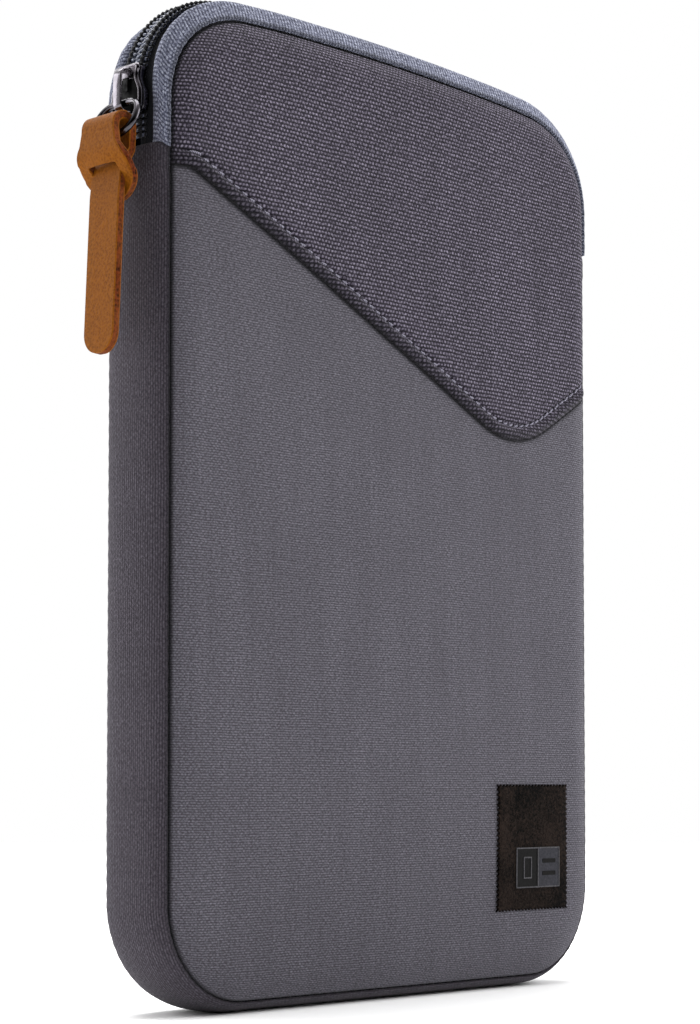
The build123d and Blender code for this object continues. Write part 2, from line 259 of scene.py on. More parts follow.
def tubes(name, paths, radii, sides, material):
    """One object of many tubes: each path has points of shape (k, 3), and a radius per point."""
    verts, faces, uvs = [], [], []
    ring = np.linspace(0, 2 * math.pi, sides, endpoint=False)
    count = 0
    for path, radius in zip(paths, radii):
        way = directions(path)
        side = np.cross(way, [0.0, 1.0, 0.0])
        weak = np.linalg.norm(side, axis=1) < 0.2
        side[weak] = np.cross(way[weak], [0.0, 0.0, 1.0])
        side /= np.linalg.norm(side, axis=1)[:, None]
        up = np.cross(side, way)
        r = np.broadcast_to(radius, len(path))[:, None, None]
        across, along = np.cos(ring)[None, :, None], np.sin(ring)[None, :, None]
        points = path[:, None] + r * (side[:, None] * across + up[:, None] * along)
        uv = np.stack(np.broadcast_arrays(run_of(path)[:, None], ring[None] / (2 * math.pi)), -1)
        verts.append(points.reshape(-1, 3))
        uvs.append(uv.reshape(-1, 2))
        faces += grid_faces(len(path), sides, close_m=True, start=count)
        faces.append(tuple(range(count, count + sides))[::-1])
        count += len(path) * sides
        faces.append(tuple(range(count - sides, count)))
    return object_of(name, np.vstack(verts), faces, material, np.vstack(uvs))


def strip(name, s, profile, material, flip=False, shade=None):
    """Strip that follows the outline: profile gives y and inset at each (s, k), or at each k
    alone. The weft of its cloth runs along it."""
    x, z, nx, nz = (v[:, None] for v in outline(s))
    y, d = (np.broadcast_to(v, (len(s), v.shape[-1])) for v in profile)
    points = np.stack([x + nx * d, y, z + nz * d - dropped(s, y)], -1)
    middle = len(s) // 2
    across = run_of(np.stack([y[middle], d[middle]], -1))
    uv = np.stack(np.broadcast_arrays(s[:, None], across[None]), -1)
    return grid_object(name, points, uv, material, shade, flip=flip)


def smooth_noise(x, z, scale, seed):
    """Soft repeatable unevenness between -1 and 1."""
    rng = np.random.default_rng(seed)
    total = 0
    for _ in range(5):
        kx, kz = rng.normal(size=2) / scale
        total = total + np.sin(2 * math.pi * (kx * x + kz * z) + rng.uniform(0, 6.28))
    return total / 5


# Materials

class Nodes:
    """New material, or world, with helpers for building its nodes."""

    def __init__(self, name, owners=bpy.data.materials, shader="Principled BSDF"):
        self.owner = owners.new(name)
        self.owner.use_nodes = True
        self.tree = self.owner.node_tree
        self.shader = self.tree.nodes[shader]

    def add(self, kind, **sockets):
        """New node; a socket is named with _ for a space, or by number as in i0."""
        node = self.tree.nodes.new(kind)
        self.fill(node, sockets)
        return node

    def fill(self, node, sockets):
        for name, value in sockets.items():
            key = name.replace("_", " ")
            socket = node.inputs[key] if key in node.inputs else node.inputs[int(name[1:])]
            if isinstance(value, bpy.types.NodeSocket):
                self.tree.links.new(value, socket)
            else:
                socket.default_value = value

    def coords(self, kind):
        return self.tree.nodes.new("ShaderNodeTexCoord").outputs[kind]

    def math(self, operation, a, b=0.0):
        node = self.add("ShaderNodeMath", i0=a, i1=b)
        node.operation = operation
        return node.outputs[0]

    def plus(self, a, b):
        return self.math("ADD", a, b)

    def times(self, a, b):
        return self.math("MULTIPLY", a, b)

    def mix(self, factor, a, b):
        node = self.tree.nodes.new("ShaderNodeMix")
        node.data_type = "RGBA"
        self.fill(node, {"i0": factor, "i6": a, "i7": b})
        return node.outputs[2]

    def uv(self, scale_u=1.0, scale_v=1.0, turn=0.0):
        """The cloth's own coordinates in millimetres, scaled, as a vector."""
        coords = self.coords("UV")
        if turn:
            coords = self.add("ShaderNodeMapping", Vector=coords, Rotation=(0, 0, turn)).outputs[0]
        scale = (scale_u, scale_v, 1.0)
        return self.add("ShaderNodeMapping", Vector=coords, Scale=scale).outputs[0]

    def split(self, vector):
        """The vector's u and v."""
        return self.add("ShaderNodeSeparateXYZ", Vector=vector).outputs[:2]

    def space(self, scale=1000):
        """Object coordinates, in millimetres unless scaled otherwise."""
        coords = self.coords("Object")
        return self.add("ShaderNodeMapping", Vector=coords, Scale=(scale,) * 3).outputs[0]

    def noise(self, vector, scale, detail=2.0, rough=0.5):
        return self.add("ShaderNodeTexNoise", Vector=vector, Scale=scale, Detail=detail,
            Roughness=rough).outputs["Fac"]

    def levels(self, value, low, high, to_low=0.0, to_high=1.0):
        return self.add("ShaderNodeMapRange", Value=value, From_Min=low, From_Max=high,
            To_Min=to_low, To_Max=to_high).outputs[0]

    def bump(self, height, distance):
        return self.add("ShaderNodeBump", Height=height, Distance=distance, Strength=1.0).outputs[0]

    def finish(self, **sockets):
        self.fill(self.shader, sockets)
        return self.owner


def rgb(r, g, b):
    """Colour from 0 to 255 display values."""
    return tuple(c / 12.92 if c < 0.04045 else ((c + 0.055) / 1.055) ** 2.4
        for c in (r / 255, g / 255, b / 255)) + (1.0,)


def woven(name, tints, pitch, relief, dots=0.5, slub=0.35, tones=(0.2, 0.75), turn=0.0,
          fuzz=0.35):
    """Woven cloth in three tints, dark to light. pitch is the spacing of the threads along u and
    v. dots is how much the weft shows as separate beads rather than as lines; slub is the uneven
    thickness along it, and fuzz the strength of its fibres."""
    n = Nodes(name)
    dark, mid, light = (rgb(*tint) for tint in tints)
    vector = n.uv(turn=turn)
    u, v = n.split(vector)
    wander = n.times(n.plus(n.noise(vector, 0.1, 2.0), -0.5), pitch[1] * 0.8)
    cell_v = n.math("DIVIDE", n.plus(v, wander), pitch[1])
    row = n.math("FLOOR", cell_v)
    cell_u = n.plus(n.math("DIVIDE", u, pitch[0]), n.times(row, 0.5))
    bead, line = (n.math("ABSOLUTE", n.math("SINE", n.times(cell, math.pi)))
        for cell in (cell_u, cell_v))
    bead = n.plus(n.times(n.math("POWER", bead, 0.8), dots), 1.0 - dots)
    height = n.times(n.math("POWER", line, 0.75), bead)
    thread_at = n.uv(1.3 / pitch[0], 1.2 / pitch[1], turn)
    uneven = n.levels(n.noise(thread_at, 1.0, 2.0, 0.7), 0.3, 0.7)
    fibre = n.noise(n.uv(3.4, 3.4), 1.0, 2.0, 0.7)
    # Painted highlight and shade: the tone is lighter on the threads' crests and darker between
    # them, mixed with the yarn's own slub and fibres.
    tone = n.plus(n.times(height, 1.0 - slub), n.times(uneven, slub))
    tone = n.plus(tone, n.times(n.plus(fibre, -0.5), fuzz))
    middle = (tones[0] + tones[1]) / 2
    colour = n.mix(n.levels(tone, tones[0], middle), dark, mid)
    colour = n.mix(n.levels(tone, middle, tones[1]), colour, light)
    clouds = n.levels(n.noise(vector, 0.035, 3.0, 0.6), 0.3, 0.7, 0.0, 0.14)
    streaks = n.levels(n.noise(n.uv(0.16, 0.018), 1.0, 3.0, 0.6), 0.35, 0.7, 0.0, 0.16)
    colour = n.mix(n.plus(clouds, streaks), colour, dark)
    # Painted shade: the shade attribute darkens the cloth to near black in seams, grooves and under
    # folds.
    painted_shade = n.tree.nodes.new("ShaderNodeAttribute")
    painted_shade.attribute_name = "shade"
    colour = n.mix(painted_shade.outputs["Fac"], colour, (0.003, 0.003, 0.004, 1))
    normal = n.bump(n.plus(height, n.times(fibre, 0.4)), relief * MM)
    return n.finish(Base_Color=colour, Roughness=0.92, Normal=normal, Sheen_Weight=0.05,
        Sheen_Roughness=0.5, Specular_IOR_Level=0.15)


def brushed(name, dark, light):
    """Short-napped lining or felt."""
    n = Nodes(name)
    at = n.space()
    nap, cloud = n.noise(at, 1.3, 4.0, 0.8), n.noise(at, 0.09, 2.0)
    tone = n.plus(n.times(nap, 0.7), n.times(cloud, 0.3))
    colour = n.mix(n.levels(tone, 0.43, 0.6), rgb(*dark), rgb(*light))
    return n.finish(Base_Color=colour, Roughness=0.95, Sheen_Weight=0.02,
        Specular_IOR_Level=0.03, Normal=n.bump(nap, 0.25 * MM))


def leather(name, tints, raw):
    """Smooth waxed face, or the raw fibrous edge."""
    n = Nodes(name)
    dark, mid, light = (rgb(*tint) for tint in tints)
    at = n.space()
    cells = n.add("ShaderNodeTexVoronoi", Vector=at, Scale=1.1 if raw else 1.6)
    fibres = n.noise(at, 1.6 if raw else 1.9, 4.0, 0.75)
    cloud = n.levels(n.noise(at, 0.16, 3.0), 0.3, 0.7)
    grain = n.plus(n.times(cells.outputs["Distance"], 0.5), n.times(fibres, 0.7))
    low, high = (0.42, 0.72) if raw else (0.35, 0.75)
    colour = n.mix(n.levels(grain, low, high), dark, mid)
    colour = n.mix(n.times(cloud, 0.25), colour, light)
    rough, shine, relief, nap = (0.9, 0.02, 0.5, 0.03) if raw else (0.62, 0.07, 0.12, 0.0)
    return n.finish(Base_Color=colour, Roughness=rough, Specular_IOR_Level=shine,
        Normal=n.bump(grain, relief * MM), Sheen_Weight=nap)


def brighter(colour, factor):
    """The colour times a factor."""
    return tuple(min(c * factor, 1) for c in colour[:3]) + (1,)


def metal(name, colour, rough):
    """Dark polished plating with faint wear."""
    n = Nodes(name)
    smear = n.noise(n.space(), 0.7, 3.0)
    colour = rgb(*colour)
    shade = n.mix(n.levels(smear, 0.35, 0.75), colour, brighter(colour, 1.5))
    roughness = n.levels(smear, 0.3, 0.7, rough * 0.7, rough * 1.4)
    return n.finish(Base_Color=shade, Metallic=1.0, Roughness=roughness,
        Normal=n.bump(smear, 0.02 * MM))


def moulded(name, dark, light, rough, shine):
    """Nylon monofilament or pressed label."""
    n = Nodes(name)
    fleck = n.noise(n.space(), 1.7, 3.0, 0.6)
    colour = n.mix(n.levels(fleck, 0.35, 0.7), rgb(*dark), rgb(*light))
    return n.finish(Base_Color=colour, Roughness=rough, Specular_IOR_Level=shine,
        Normal=n.bump(fleck, 0.05 * MM))


def twisted(name, dark, light):
    """Thread: plies wound round each other."""
    n = Nodes(name)
    u, v = n.split(n.uv())
    turns = n.plus(n.times(u, 1.6), n.times(v, 3.0))
    ply = n.levels(n.math("SINE", n.times(turns, 2 * math.pi)), -1.0, 1.0)
    return n.finish(Base_Color=n.mix(ply, rgb(*dark), rgb(*light)), Roughness=0.7,
        Sheen_Weight=0.08, Specular_IOR_Level=0.2, Normal=n.bump(ply, 0.08 * MM))


MAIN = woven("main_cloth", ((46, 43, 49), (74, 72, 79), (113, 111, 120)), (1.1, 0.575), 0.08,
    dots=0.45, slub=0.5, tones=(0.15, 0.92), fuzz=0.6)
# Darker copy of the main cloth for the gusset: painted shade on the sides, which get less light.
GUSSET_IN_SHADE = woven("gusset_cloth_in_painted_shade", ((35, 31, 37), (57, 53, 60), (89, 84, 93)), (1.1, 0.67), 0.08,
    dots=0.4, slub=0.5, tones=(0.15, 0.92), fuzz=0.5)
YOKE = woven("yoke_canvas", ((6, 4, 9), (47, 42, 54), (140, 133, 150)), (1.09, 0.96), 0.26,
    dots=0.62, slub=0.42, tones=(0.12, 0.95))
BAND = woven("band_twill", ((20, 21, 31), (94, 97, 117), (178, 182, 199)), (0.7, 0.98), 0.16,
    dots=0.45, slub=0.55, tones=(0.1, 0.94), turn=1.33, fuzz=1.0)
# Near-black tape: partly its own dark navy, partly painted shade where it lies under the band.
TAPE = woven("zip_tape", ((4, 4, 7), (9, 10, 15), (24, 26, 36)), (0.8, 0.5), 0.1)
BINDING = woven("binding_tape", ((10, 10, 13), (22, 22, 27), (38, 38, 45)), (0.9, 0.6), 0.12)
LINING = brushed("lining", (46, 46, 52), (78, 78, 86))
FELT = brushed("label_felt", (0, 0, 0), (37, 29, 25))
COIL = moulded("zip_coil", (44, 48, 64), (104, 110, 132), 0.35, 0.5)
# Near-black thread: partly its own colour, partly painted shade in the gaps between the coil's
# turns.
COIL_THREAD = twisted("coil_thread", (3, 3, 6), (15, 16, 23))
GUNMETAL = metal("gunmetal", (88, 85, 90), 0.14)
# Darker copy of the gunmetal for the ring: painted shade that dims its reflections.
GUNMETAL_RING_IN_SHADE = metal("gunmetal_ring_in_painted_shade", (62, 60, 64), 0.16)
# Near-black steel: the own finish of the stops and the lock spring, and painted shade on the
# slider's wing.
SPRING_STEEL_AND_SHADE = metal("spring_steel_and_painted_shade", (9, 9, 10), 0.6)
LEATHER = leather("tan_leather", ((94, 50, 2), (124, 71, 8), (132, 78, 13)), raw=False)
RAW_EDGE = leather("leather_edge", ((22, 6, 2), (98, 42, 16), (176, 106, 58)), raw=True)
THREAD = twisted("topstitch_thread", (84, 80, 96), (150, 147, 162))
SEAM_THREAD = twisted("seam_thread", (12, 12, 16), (34, 33, 40))
BADGE_DARK = moulded("badge_dark", (5, 5, 5), (14, 13, 13), 0.6, 0.06)
BADGE_GREY = moulded("badge_grey", (38, 38, 43), (52, 52, 58), 0.6, 0.06)
BADGE_LINE = moulded("badge_line", (56, 55, 58), (80, 79, 82), 0.6, 0.06)


# Padded faces

SWELL_FRAMES, SWELL_TOP = 20, 1.1  # length of the simulation; height that its lift is scaled to
COVER_EDGE_Y = 8.6  # distance of the covers' edges from the middle of the case
ROLL, ROLL_W = 1.75, 0.5  # rise and width of a cover's rolled rim
CROWN, CROWN_W = 1.6, 7.0  # rise and width of the slope inside it
RIM = np.r_[0, 0.05, 0.12, 0.22, 0.36, 0.55, 0.8, 1.2, 1.8, 2.6, 3.6, 5.0]  # rows near the edge


def panel_columns(inset, step):
    """x of the columns of a panel, close together towards its rounded corners and its edges."""
    turn = np.radians(np.linspace(0, 90, 26))[1:]
    right = np.r_[np.linspace(0, MID_X, int(MID_X / step) + 1),
        MID_X + (CORNER - inset) * np.sin(turn)]
    return np.r_[-right[:0:-1], right]


def edge_z(x, inset):
    """Lowest z of a panel at x; its highest is the height less this."""
    radius = CORNER - inset
    over = np.clip(np.abs(x) - MID_X, 0, radius)
    return inset + radius - np.sqrt(np.maximum(radius ** 2 - over ** 2, 0))


def swell():
    """How far pressure lifts a cloth face that is held all round its seam, as a grid."""
    xs, zs = np.linspace(-1, 1, 39), np.linspace(0, 1, 57)
    x = xs[:, None] * (HALF_W - SEAM_D) + 0 * zs
    z = SEAM_D + zs * (PANEL_HEIGHT - 2 * SEAM_D) + 0 * x
    points = np.stack([x, 0 * x, z], -1)
    cloth = grid_object("front_swell", points, points[..., :2], MAIN)
    held = inset_of(x, z).ravel() < SEAM_D + 4.5
    cloth.vertex_groups.new(name="seam").add(np.flatnonzero(held).tolist(), 1.0, "REPLACE")
    modifier = cloth.modifiers.new("swell", "CLOTH")
    assign(modifier.settings, quality=6, mass=0.3, tension_stiffness=40, bending_stiffness=4,
           compression_stiffness=40, vertex_group_mass="seam", use_pressure=True,
           uniform_pressure_force=4)
    modifier.settings.effector_weights.gravity = 0
    modifier.point_cache.frame_end = SWELL_FRAMES
    scene = bpy.context.scene
    for step in range(1, SWELL_FRAMES + 1):
        scene.frame_set(step)
    evaluated = cloth.evaluated_get(bpy.context.evaluated_depsgraph_get())
    lift = np.abs([v.co.y for v in evaluated.data.vertices]).reshape(x.shape) / MM
    bpy.data.objects.remove(cloth)
    scene.frame_set(1)
    return lift * (SWELL_TOP / max(lift.max(), 1e-6))


def sample(lift, x, z):
    """Lift of a swollen face at x, z."""
    places = (x / (HALF_W - SEAM_D) + 1) / 2, (z - SEAM_D) / (PANEL_HEIGHT - 2 * SEAM_D)
    fx, fz = (np.clip(t * (n - 1), 0, n - 1.001) for t, n in zip(places, lift.shape))
    i, j = fx.astype(int), fz.astype(int)
    a, b = smooth(fx - i), smooth(fz - j)
    low = lift[i, j] * (1 - a) + lift[i + 1, j] * a
    high = lift[i, j + 1] * (1 - a) + lift[i + 1, j + 1] * a
    return low * (1 - b) + high * b


SWELL = swell()


def face_out(x, z, seed=1):
    """Distance of a cover's surface from the case's middle: rolled at its rim, then nearly flat."""
    e = edge_distance(x, z)
    slope = CROWN * (1 - np.clip(1 - e / CROWN_W, 0, 1) ** 2)
    out = COVER_EDGE_Y + ROLL * rolled(e, ROLL_W) + slope
    out = out - 0.09 * hump(e, 0.8, 1.0) * waves(along_of(x, z), STITCH)
    uneven = 0.1 * ramp(e, 0, 14) * smooth_noise(x, z, 46, seed)
    return out + sample(SWELL, x, z) + uneven


# The yoke's lower edge: flat start, long slope, round tip, short rise
YOKE_EDGE = rounded_path([(-80.0, 191.0), (-71.0, 191.0), (43.0, 137.6), (80.0, 159.58)],
    (5.0, 28.0), 24)
YOKE_EDGE = at_run(YOKE_EDGE, np.linspace(0, run_of(YOKE_EDGE)[-1], 900))


def yoke_z(x):
    """Height of the yoke's edge at x."""
    return np.interp(x, YOKE_EDGE[:, 0], YOKE_EDGE[:, 1])


def above_yoke(x, z):
    """Distance from the yoke's edge, for points above it."""
    flat = np.stack([np.ravel(x), np.ravel(z)], -1)
    out = np.empty(len(flat))
    for k in range(0, len(flat), 4000):
        gap = flat[k:k + 4000, None] - YOKE_EDGE[None]
        out[k:k + 4000] = np.sqrt((gap ** 2).sum(-1).min(1))
    return out.reshape(np.shape(x))


def yoke_lift(d):
    """The yoke's height over the main cloth at distance d from its edge: fold, groove, canvas."""
    return (0.8 * (0.2 + 0.8 * rolled(d, 1.9)) + 0.95 * hump(d, 1.8, 1.1)
            - 0.7 * hump(d, 3.65, 0.62))


def cover_uv(x, z):
    """Cloth coordinates of a cover: flat over its face, then out and down over its rolled rim."""
    e = edge_distance(x, z)
    depth = ROLL * (1 - rolled(e, ROLL_W)) + CROWN * np.clip(1 - e / CROWN_W, 0, 1) ** 2
    out_x = (inset_of(x - 0.1, z) - inset_of(x + 0.1, z)) / 0.2
    out_z = (inset_of(x, z - 0.1) - inset_of(x, z + 0.1)) / 0.2
    return np.stack([x + out_x * depth, z + out_z * depth], -1)


def rim_shade(x, z):
    """Painted shade down in the seam round a cover, less along the bottom and the right."""
    bottom = np.interp(z, [6.0, 20.0], [0.6, 0.93])
    right = np.interp(x, [-40.0, 60.0], [1.0, 0.45])
    return bottom * right * hump(edge_distance(x, z), 0, 0.34)


def cover(name, x, y, z, shade, flip=False):
    """Cover of main cloth from its grid of points."""
    return grid_object(name, np.stack([x, y, z], -1), cover_uv(x, z), MAIN, shade, flip=flip)


def front_cover():
    """Main cloth from the bottom seam to just under the yoke, in closer rows near the yoke."""
    tucked, fine = 5.0, 9.0
    x = panel_columns(EDGE_D, 1.6)[:, None]
    low, high = edge_z(x, EDGE_D), yoke_z(x) + tucked
    middle = np.linspace(0, 1, 100) * (high - low - fine - RIM[-1]) + RIM[-1]
    near = np.linspace(0.4, fine, 22) + middle[:, -1:]
    z = low + np.hstack([RIM[:-1] + 0 * x, middle, near])
    x = x + 0 * z
    # Painted shade in the seam round the cover, and a painted shadow just under the yoke's fold.
    shade = np.maximum(rim_shade(x, z), 0.93 * hump(above_yoke(x, z), 0, 0.75))
    return cover("front_cover", x, -face_out(x, z), z, shade)


def yoke_cover():
    """Canvas from its rolled lower edge up to the top seam."""
    x = panel_columns(EDGE_D, 0.9)[:, None]
    low, high = yoke_z(x), PANEL_HEIGHT - edge_z(x, EDGE_D)
    near = np.r_[0.15, 0.35, 0.6, 0.9, 1.25, 1.6, 2.0, 2.4, 2.75, 3.05, 3.35, 3.65, 3.95, 4.25,
        4.6, 5.1, 6.0]
    middle = np.linspace(0, 1, 70)[1:] * (high - low - near[-1] - RIM[-1]) + near[-1]
    z = np.hstack([low + near, low + middle, high - RIM[-2::-1]])
    x2 = x + 0 * z
    d = above_yoke(x2, z)
    held = np.clip(edge_distance(x2, z) / 3.5, 0.12, 1)
    out = face_out(x2, z) + yoke_lift(d) * held
    # The edge turned under: heights over the fold's line, and over the main cloth
    fold_z = low + np.array([1.6, 0.75, 0.3, 0.04, -0.1, -0.08])
    fold_lift = np.array([-0.3, -0.12, 0.06, 0.2, 0.42, 0.7]) * held[:, :1]
    fold_x = x + 0 * fold_z
    fold_out = face_out(fold_x, np.maximum(fold_z, edge_z(fold_x, EDGE_D) + 0.01)) + fold_lift
    points = np.stack([np.hstack([fold_x, x2]), -np.hstack([fold_out, out]),
        np.hstack([fold_z, z])], -1)
    # Painted shade on the rolled fold and its edge, down in the stitch groove and on the rows
    # turned under, joined with the painted shade in the seam.
    painted_fold_shade = 0.5 * np.clip((2.9 - d) / 1.2, 0, 1) + 0.4 * hump(d, 0, 0.5)
    drawn = np.maximum(0.5 * hump(d, 3.65, 0.4), painted_fold_shade)
    shade = np.hstack([0.9 + 0 * fold_z, np.maximum(drawn, rim_shade(x2, z))])
    uv = np.hstack([np.stack([fold_x, 2 * low - fold_z], -1), cover_uv(x2, z)])
    return grid_object("yoke_cover", points, uv, YOKE, shade)


def rear_cover():
    """Plain cloth panel on the rear."""
    x = panel_columns(EDGE_D, 1.6)[:, None]
    low = edge_z(x, EDGE_D)
    high = PANEL_HEIGHT - low
    middle = np.linspace(0, 1, 130)[1:-1] * (high - low - 2 * RIM[-1]) + RIM[-1]
    z = np.hstack([low + RIM, low + middle, high - RIM[::-1]])
    x = x + 0 * z
    return cover("rear_cover", x, face_out(x, z, seed=5), z, rim_shade(x, z), flip=True)


def pad(name, side):
    """Foam with its lining, behind a cover: flat inside, rounded at its rim."""
    inset, outer = 4.2, 10.2
    x = panel_columns(inset, 4.0)[:, None]
    low = edge_z(x, inset)
    t = np.r_[np.linspace(0, 0.03, 7), np.linspace(0.03, 0.97, 64)[1:-1], np.linspace(0.97, 1, 7)]
    z = low + t * (PANEL_HEIGHT - 2 * low)
    x = x + 0 * z
    rim = rolled(edge_distance(x, z, inset), 2.2)
    inner = outer - 4.5 * rim - 0.1 * smooth_noise(x, z, 30, 9) * rim
    verts = np.vstack([np.stack([x, side * y, z], -1).reshape(-1, 3)
        for y in (inner, outer + 0 * inner)])
    n, m = x.shape
    faces = grid_faces(n, m, flip=side < 0) + grid_faces(n, m, flip=side > 0, start=n * m)
    return object_of(name, verts, faces, LINING, verts[:, [0, 2]])


# Gusset, bands and zip

FRONT_REACH, REAR_REACH = 10.2, 10.6  # the gusset's half width, towards either seam
COIL_PITCH = 1.5
# y and inset of a band's section, from under its folded edge over to the seam
BAND_PROFILE = [(8.6, 2.4), (7.3, 2.2), (6.2, 1.9), (5.7, 1.5), (5.55, 0.95), (5.6, 0.45),
    (5.85, 0.05), (6.35, -0.28), (7.1, -0.44), (7.9, -0.48), (8.4, -0.35),
    (8.85, -0.12), (9.25, 0.2), (9.6, 0.6), (9.9, 1.05), (10.15, 1.45), (10.3, 1.8),
    (10.33, 2.1), (10.1, 2.4), (9.6, 2.55), (8.6, 2.6)]


def shoulder(a):
    """y and inset over a rounded gusset, from the front seam (-90) to the rear seam (90)."""
    a = np.radians(a)
    squared = 2 / 2.2  # a little squarer than an ellipse
    y = np.where(a < 0, -FRONT_REACH, REAR_REACH) * np.abs(np.sin(a)) ** squared
    return y, 3.2 * (1 - np.cos(a) ** squared)


def gusset_cover():
    """Side and bottom cloth with a turned-in hem at each end and puckers along both seams."""
    ends = np.r_[0, 0.12, 0.3, 0.55, 0.9, 1.4, 2.2, 3.5, 5, 6, 6.6, 7.2, 8, 9.5]
    body = even(10.5, HEM_LEFT * 2 - 10.5, 0.8)
    run = np.r_[ends, body, HEM_LEFT * 2 - ends[::-1]]
    s = run - HEM_LEFT
    y, d = shoulder(np.linspace(-74, 74, 33))
    lip_y, lip_d = np.array([8.6, 9.1, 9.5, 9.75, 9.88]), np.array([2.7, 2.7, 2.68, 2.6, 2.42])
    y = np.r_[-lip_y, y, lip_y[::-1] * REAR_REACH / FRONT_REACH]
    d = np.r_[lip_d, d, lip_d[::-1]]
    z, near_end = outline(s)[1][:, None], np.minimum(run, HEM_LEFT * 2 - run)[:, None]
    between_seams = ramp(SEAM_Y - np.abs(y), 0, 2.0)
    hem = 0.45 * (1 - ramp(near_end, 6.0, 1.6)) * between_seams
    turned = 1.5 * (1 - rolled(near_end, 0.9))
    pucker = 0.12 * waves(s, STITCH)[:, None] * hump(np.abs(y), 9.8, 0.8)
    bow = 0.15 * np.clip(1 - (y / 9.0) ** 2, 0, 1) * ramp(near_end, 0, 10) * ramp(z, 0, 6.0)
    uneven = 0.10 * smooth_noise(s[:, None], y * 3, 34, 3) * between_seams * ramp(z, 0, 3.0)
    # Painted shade along both seams, weaker on the right side and towards the bottom.
    right = np.interp(s, [0, HEM_LEFT], [0.35, 1.0])[:, None]
    shade = ramp(np.abs(y), 9.4, 0.45) ** 2 * right * np.interp(z, [2.0, 20.0], [0.5, 0.85])
    return strip("gusset_cover", s, (y, d - hem + turned + pucker - bow - uneven), GUSSET_IN_SHADE,
        shade=shade)


def band(name, side):
    """Zip band: folded edge at the zip, puffed middle, seam at the panel, ends under the hems."""
    s = even(HEM_LEFT - 5, HEM_RIGHT + 5, 0.8)
    y, d = np.array(BAND_PROFILE).T
    flat_d = np.interp(y, *shoulder(np.linspace(0, 74, 30))) + 0.75
    under = smooth(ramp(HEM_LEFT + 0.8 - s, 0, 1.6) + ramp(s, HEM_RIGHT - 0.8, 1.6))[:, None]
    y = side * y * (1 - 0.1 * under)
    reach = np.abs(y)
    d = np.where(d < flat_d, d + (flat_d - d) * under, d)
    low = smooth(1 - ramp(outline(s)[1][:, None], 203, 18))
    d = d + 0.9 * low * (1 - under) * ramp(10.2 - reach, 0, 2)
    d = d + 0.14 * waves(s, STITCH)[:, None] * hump(reach, 10.2, 0.7)
    corners = hump(s, HEM_LEFT + 26, 16) + hump(s, HEM_RIGHT - 26, 16)
    crease = np.cos(2 * math.pi * s / 5.3 + 1.5 * np.sin(s / 9)) * corners
    d = d + 0.08 * crease[:, None] * hump(reach, 7.2, 1.2) * (1 - under)
    d = d - 0.07 * smooth_noise(s[:, None], y * 3, 18, 7)
    if side > 0:
        d = d + 0.6 * (1 - under) * ramp(10.2 - reach, 0, 1.5)
    # Painted shade where the band turns down into the seam.
    shade = 0.6 * ramp(reach, 9.9, 0.4) * (d > 1.2)
    return strip(name, s, (y, d), BAND, flip=side > 0, shade=shade)


def opened(s):
    """How far the zip's halves stand apart at s: open between the left hem and the slider."""
    return 0.85 * smooth(ramp(SLIDER_S + 2.5 - s, 0, 5.0))


def tape(name, side):
    """Woven tape under the coil and the band."""
    s = even(HEM_LEFT - 6.5, HEM_RIGHT + 6.5, 1.2)
    y = np.r_[7.3, 6.0, 5.0, 4.0, 3.0, 2.0, 1.0, 0.45, 0.4, 0.5, 2.0, 4.0, 7.3]
    d = np.r_[1.25 + np.zeros(6), 1.27, 1.3, 1.37, 1.45, 1.5, 1.5, 1.75]
    y = side * (y + opened(s)[:, None] * np.clip(1 - (y - 3) / 4, 0, 1))
    return strip(name, s, (y, d), TAPE, flip=side > 0)


def coil(name, side):
    """Nylon coil: flattened turns that reach across the middle between the other row's turns."""
    turns = (HEM_RIGHT - HEM_LEFT - 2.4) / COIL_PITCH
    angle = np.linspace(0, turns * 2 * math.pi, int(turns * 18))
    s = HEM_LEFT + 1.2 + (angle / (2 * math.pi) + (0.5 if side > 0 else 0)) * COIL_PITCH
    y = 1.25 - 1.75 * np.cos(angle) + opened(s)
    path = beside_outline(s, side * y, 0.25 - 0.55 * np.sin(angle))
    return tubes(name, [path], [0.36], 8, COIL)


def coil_stitches(name, side):
    """Thick thread knots that hold each turn to the tape, and the chain between them; their near
    black is partly painted shade in the gaps between the coil's turns.
    """
    paths, radii = [], []
    t = np.linspace(-1, 1, 5)
    for k in range(int((HEM_RIGHT - HEM_LEFT - 3) / COIL_PITCH)):
        s = HEM_LEFT + 1.4 + (k + 0.25 + (0.5 if side > 0 else 0)) * COIL_PITCH + 0.5 * t
        for lane, sunk, radius in ((2.25, 0.5, 0.64), (3.3, 0.0, 0.26)):
            y = side * (lane + 0.12 * t + opened(s))
            paths.append(beside_outline(s, y, 0.35 * t ** 2 - sunk))
            radii.append(radius * (1 - 0.55 * t ** 2))
    return tubes(name, paths, radii, 7, COIL_THREAD)


def binding(name, side):
    """Tape folded over the raw edges inside a seam."""
    s = even(0, LENGTH, 2.0)
    a = np.linspace(0, 2 * math.pi, 14)
    y = side * (8.5 + np.sign(np.cos(a)) * np.abs(np.cos(a)) ** 0.7)
    ripple = 0.06 * np.sin(2 * math.pi * s / 4.0)[:, None]
    return strip(name, s, (y, 3.75 + 0.6 * np.sin(a) + ripple), BINDING, flip=side > 0)


def gusset_pad():
    """Foam and lining inside the gusset."""
    end, outer = HEM_LEFT - 8, 1.2
    s = even(-end, end, 3.0)
    y = np.r_[-7.2, -7.2, -6.9, -6.3, np.linspace(-5, 5, 7), 6.3, 6.9, 7.2, 7.2]
    d = np.r_[outer, 2.6, 3.2, 3.5, np.full(7, 3.6), 3.5, 3.2, 2.6, outer]
    closing = 1 - ramp(np.minimum(s + end, end - s)[:, None], 0, 4)
    return strip("gusset_pad", s, (y, d - closing * (d - outer)), LINING, flip=True)


